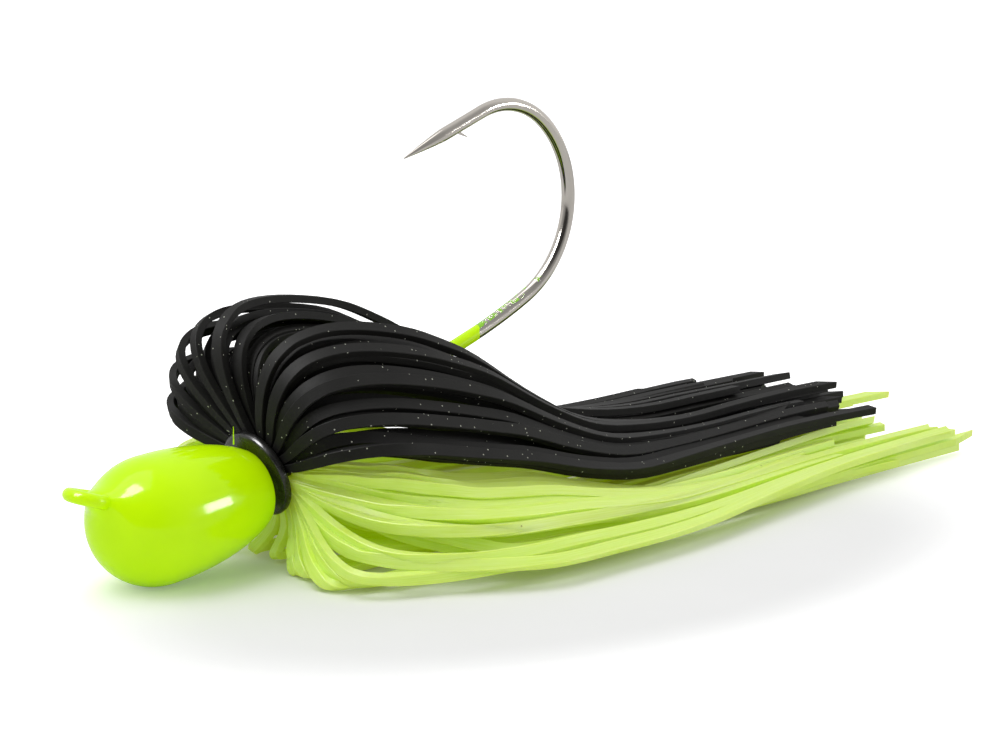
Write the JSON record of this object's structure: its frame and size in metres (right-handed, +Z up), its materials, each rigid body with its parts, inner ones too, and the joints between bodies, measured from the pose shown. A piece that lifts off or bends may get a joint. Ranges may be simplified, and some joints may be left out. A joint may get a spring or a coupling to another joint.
{
  "type": "skirted fishing jig",
  "caption": "Round-nosed painted jig head cast on an upturned barbed hook, with a rubber collar on the keeper stem holding a two-tone skirt of loose rubber strands.",
  "frame": {"origin": "centre of the line tie's bore", "axes": "+X from the nose to the tail, +Y to the jig's right as it is towed nose first, +Z up with the hook's point upward"},
  "size_m": [0.1071, 0.0526, 0.0416],
  "materials": {
    "head_paint": "gloss",
    "hook_wire": "polished",
    "collar_rubber": "satin",
    "black_strand": "satin",
    "chartreuse_strand": "satin"
  },
  "bodies": {
    "head_and_hook": {"head": "head_paint", "hook": "hook_wire"},
    "collar": {"skirt_collar": "collar_rubber"},
    "black_left_side": {"black_strand_01": "black_strand", "black_strand_02": "black_strand", "black_strand_03": "black_strand", "black_strand_04": "black_strand", "black_strand_05": "black_strand", "black_strand_06": "black_strand"},
    "black_left_shoulder": {"black_strand_07": "black_strand", "black_strand_08": "black_strand", "black_strand_09": "black_strand", "black_strand_10": "black_strand", "black_strand_11": "black_strand", "black_strand_12": "black_strand"},
    "black_top": {"black_strand_13": "black_strand", "black_strand_14": "black_strand", "black_strand_15": "black_strand", "black_strand_16": "black_strand", "black_strand_17": "black_strand", "black_strand_18": "black_strand"},
    "black_right_shoulder": {"black_strand_19": "black_strand", "black_strand_20": "black_strand", "black_strand_21": "black_strand", "black_strand_22": "black_strand", "black_strand_23": "black_strand", "black_strand_24": "black_strand"},
    "black_right_side": {"black_strand_25": "black_strand", "black_strand_26": "black_strand", "black_strand_27": "black_strand", "black_strand_28": "black_strand", "black_strand_29": "black_strand", "black_strand_30": "black_strand"},
    "chartreuse_left": {"chartreuse_strand_01": "chartreuse_strand", "chartreuse_strand_02": "chartreuse_strand", "chartreuse_strand_03": "chartreuse_strand", "chartreuse_strand_04": "chartreuse_strand", "chartreuse_strand_05": "chartreuse_strand", "chartreuse_strand_06": "chartreuse_strand", "chartreuse_strand_07": "chartreuse_strand", "chartreuse_strand_08": "chartreuse_strand", "chartreuse_strand_09": "chartreuse_strand", "chartreuse_strand_10": "chartreuse_strand", "chartreuse_strand_11": "chartreuse_strand", "chartreuse_strand_12": "chartreuse_strand"},
    "chartreuse_right": {"chartreuse_strand_13": "chartreuse_strand", "chartreuse_strand_14": "chartreuse_strand", "chartreuse_strand_15": "chartreuse_strand", "chartreuse_strand_16": "chartreuse_strand", "chartreuse_strand_17": "chartreuse_strand", "chartreuse_strand_18": "chartreuse_strand", "chartreuse_strand_19": "chartreuse_strand", "chartreuse_strand_20": "chartreuse_strand", "chartreuse_strand_21": "chartreuse_strand", "chartreuse_strand_22": "chartreuse_strand", "chartreuse_strand_23": "chartreuse_strand", "chartreuse_strand_24": "chartreuse_strand"}
  },
  "joints": [
    {"name": "collar_slide", "type": "slide", "parent": "head_and_hook", "child": "collar", "axis": [0.9426, 0, 0.3338], "range_m": [0, 0.008]},
    {"name": "black_left_side_flare", "type": "hinge", "parent": "collar", "child": "black_left_side", "pos_m": [0.02141, -0.00357, 0.00137], "axis": [0.3059, -0.4004, -0.8638], "range_deg": [0, 12], "stiffness_Nm_per_rad": 0.02},
    {"name": "black_left_shoulder_flare", "type": "hinge", "parent": "collar", "child": "black_left_shoulder", "pos_m": [0.02084, -0.00214, 0.00297], "axis": [0.1828, -0.8368, -0.5162], "range_deg": [0, 12], "stiffness_Nm_per_rad": 0.02},
    {"name": "black_top_flare", "type": "hinge", "parent": "collar", "child": "black_top", "pos_m": [0.02063, 0, 0.00357], "axis": [0, -1, 0], "range_deg": [0, 12], "stiffness_Nm_per_rad": 0.02},
    {"name": "black_right_shoulder_flare", "type": "hinge", "parent": "collar", "child": "black_right_shoulder", "pos_m": [0.02084, 0.00214, 0.00297], "axis": [-0.1828, -0.8368, 0.5162], "range_deg": [0, 12], "stiffness_Nm_per_rad": 0.02},
    {"name": "black_right_side_flare", "type": "hinge", "parent": "collar", "child": "black_right_side", "pos_m": [0.02141, 0.00357, 0.00137], "axis": [-0.3059, -0.4004, 0.8638], "range_deg": [0, 12], "stiffness_Nm_per_rad": 0.02},
    {"name": "chartreuse_left_flare", "type": "hinge", "parent": "collar", "child": "chartreuse_left", "pos_m": [0.021, -0.00195, -0.00329], "axis": [0, 0, -1], "range_deg": [0, 6], "stiffness_Nm_per_rad": 0.02},
    {"name": "chartreuse_right_flare", "type": "hinge", "parent": "collar", "child": "chartreuse_right", "pos_m": [0.021, 0.00195, -0.00329], "axis": [0, 0, 1], "range_deg": [0, 6], "stiffness_Nm_per_rad": 0.02}
  ]
}
